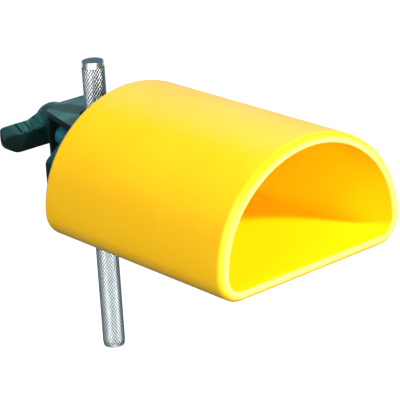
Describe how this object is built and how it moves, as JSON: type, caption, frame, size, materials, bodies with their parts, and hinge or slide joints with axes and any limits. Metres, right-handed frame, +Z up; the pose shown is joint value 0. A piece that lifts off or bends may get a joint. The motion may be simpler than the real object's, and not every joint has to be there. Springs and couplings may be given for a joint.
{
  "type": "jam block",
  "caption": "Hollow D-shaped plastic percussion block with an open mouth, held on a knurled mounting rod by a clamp bracket with a wing handle.",
  "frame": {"origin": "on the mounting rod's axis, in the middle of the lower grip that a stand's clamp holds", "axes": "+Z up along the rod, +Y from the block's mouth towards the wing handle, +X across the block"},
  "size_m": [0.092, 0.1625, 0.127],
  "materials": {
    "yellow_plastic": "satin moulded",
    "gasket_rubber": "matt",
    "black_plastic": "fine moulded grain",
    "black_nylon": "smooth",
    "zinc_steel": "bright zinc",
    "jaw_metal": "die cast",
    "rod_chrome": "chromed, diamond knurl"
  },
  "bodies": {
    "rod": {"mounting_rod": "rod_chrome"},
    "bush": {"rod_bush": "black_nylon"},
    "block": {"block_shell": "yellow_plastic", "isolation_gasket": "gasket_rubber", "bracket": "black_plastic", "plate_screws": "zinc_steel", "plate_washers": "zinc_steel", "lock_nuts": "zinc_steel", "captive_nut": "zinc_steel"},
    "jaw": {"clamp_jaw": "jaw_metal"},
    "wing": {"clamp_screw": "zinc_steel", "wing_handle": "black_plastic"}
  },
  "joints": [
    {"name": "height_slide", "type": "slide", "parent": "rod", "child": "bush", "axis": [0, 0, 1], "range_m": [-0.03, 0.02]},
    {"name": "swivel", "type": "hinge", "parent": "bush", "child": "block", "pos_m": [0, 0, 0.0701], "axis": [0, 0, 1], "continuous": true},
    {"name": "jaw_slide", "type": "slide", "parent": "block", "child": "jaw", "axis": [0, 1, 0], "range_m": [0, 0.00344]},
    {"name": "wing_turn", "type": "hinge", "parent": "jaw", "child": "wing", "pos_m": [0, 0, 0.0701], "axis": [0, 1, 0], "range_deg": [0, 990]}
  ],
  "couplings": [
    {"joint": "wing_turn", "follows": "jaw_slide", "rad_per_m": 5026.5}
  ]
}
